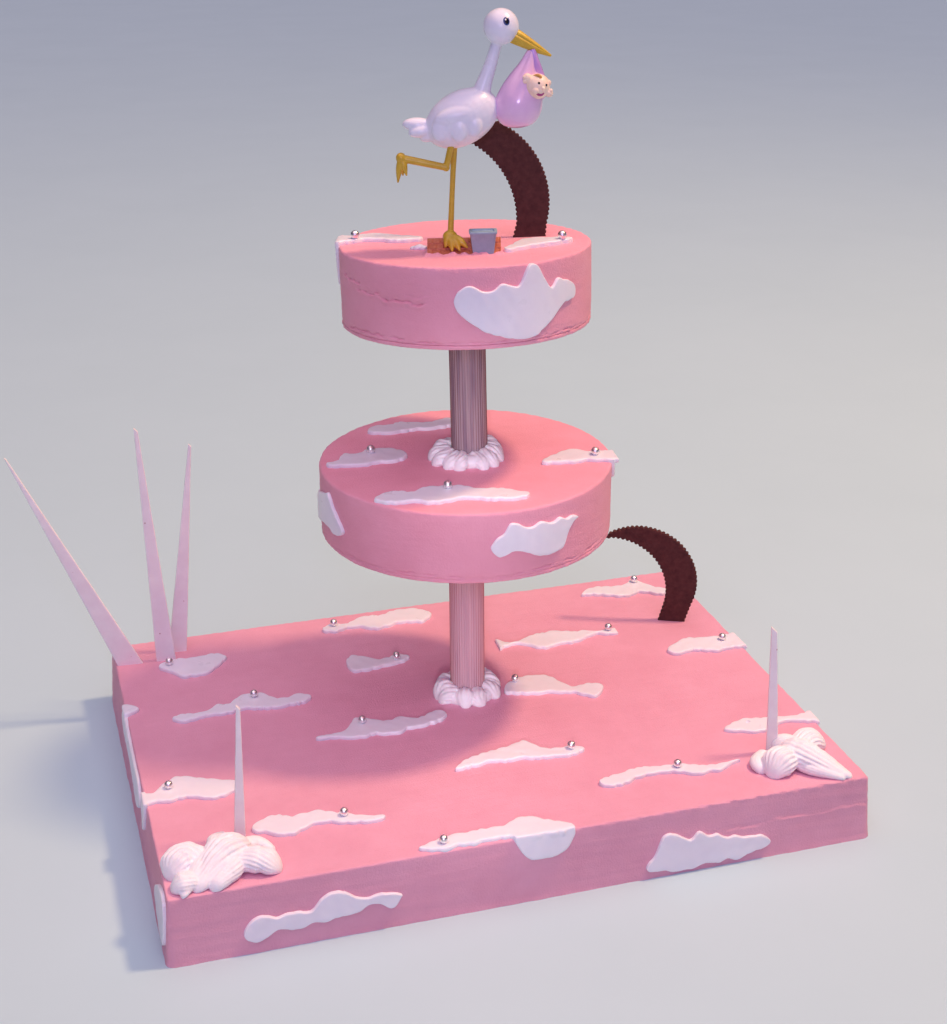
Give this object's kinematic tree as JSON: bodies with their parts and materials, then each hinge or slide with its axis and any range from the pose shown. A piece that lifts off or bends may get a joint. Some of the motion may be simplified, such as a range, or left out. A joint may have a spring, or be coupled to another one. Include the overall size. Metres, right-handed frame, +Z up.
{
  "type": "tiered cake",
  "caption": "Tiered celebration cake on clear columns, pink icing dressed with white icing clouds, silver pearls, piped cream, sugar shards, chocolate crescents and a stork topper.",
  "frame": {"origin": "centre of the base tier's underside", "axes": "+X along the base tier's long side, -Y towards the side that faces a guest, +Z up"},
  "size_m": [0.6491, 0.4302, 0.6452],
  "materials": {
    "pink_icing": "smooth satin rolled icing",
    "white_icing": "rolled icing, slightly shiny, with silver sugar pearls",
    "piped_cream": "soft piped buttercream",
    "poured_sugar": "poured sugar, milky and slightly shiny",
    "dark_chocolate": "set dark chocolate, dull",
    "clear_plastic": "clear moulded plastic",
    "white_plastic": "painted plastic, glossy",
    "ochre_plastic": "painted plastic, satin",
    "pink_plastic": "painted plastic, glossy",
    "skin_plastic": "painted plastic, satin",
    "brick_plastic": "painted plastic, dull",
    "grey_plastic": "painted plastic, dull",
    "sugar_pearl": "silver-coated sugar balls"
  },
  "bodies": {
    "root": {"base_cake": "pink_icing", "middle_cake": "pink_icing", "top_cake": "pink_icing", "cloud_base_top_1": "white_icing", "cloud_base_top_2": "white_icing", "cloud_base_top_3": "white_icing", "cloud_base_top_4": "white_icing", "cloud_base_top_5": "white_icing", "cloud_base_top_6": "white_icing", "cloud_base_top_7": "white_icing", "cloud_base_top_8": "white_icing", "cloud_base_top_9": "white_icing", "cloud_base_top_10": "white_icing", "cloud_base_top_11": "white_icing", "cloud_base_top_12": "white_icing", "cloud_base_top_13": "white_icing", "cloud_base_top_14": "white_icing", "cloud_base_top_15": "white_icing", "cloud_base_front_1": "white_icing", "cloud_base_front_2": "white_icing", "cloud_base_left_1": "white_icing", "cloud_base_left_2": "white_icing", "cloud_base_right_1": "white_icing", "cloud_base_back_1": "white_icing", "cloud_base_back_2": "white_icing", "cloud_middle_top_1": "white_icing", "cloud_middle_top_2": "white_icing", "cloud_middle_top_3": "white_icing", "cloud_middle_top_4": "white_icing", "cloud_middle_side_1": "white_icing", "cloud_middle_side_2": "white_icing", "cloud_middle_side_3": "white_icing", "cloud_top_top_1": "white_icing", "cloud_top_top_2": "white_icing", "cloud_top_side_1": "white_icing", "cloud_top_side_2": "white_icing", "cream_front_left": "piped_cream", "cream_front_right": "piped_cream", "lower_shells": "piped_cream", "upper_shells": "piped_cream", "shard_back_left": "poured_sugar", "shard_back_middle": "poured_sugar", "shard_back_right": "poured_sugar", "shard_front_left": "poured_sugar", "shard_front_right": "poured_sugar", "base_crescent": "dark_chocolate", "top_crescent": "dark_chocolate", "lower_column": "clear_plastic", "upper_column": "clear_plastic", "middle_plate": "clear_plastic", "top_plate": "clear_plastic", "stork_body": "white_plastic", "stork_beak": "ochre_plastic", "stork_leg": "ochre_plastic", "stork_raised_leg": "ochre_plastic", "bundle": "pink_plastic", "baby": "skin_plastic", "roof": "brick_plastic", "chimney": "grey_plastic"}
  },
  "joints": []
}
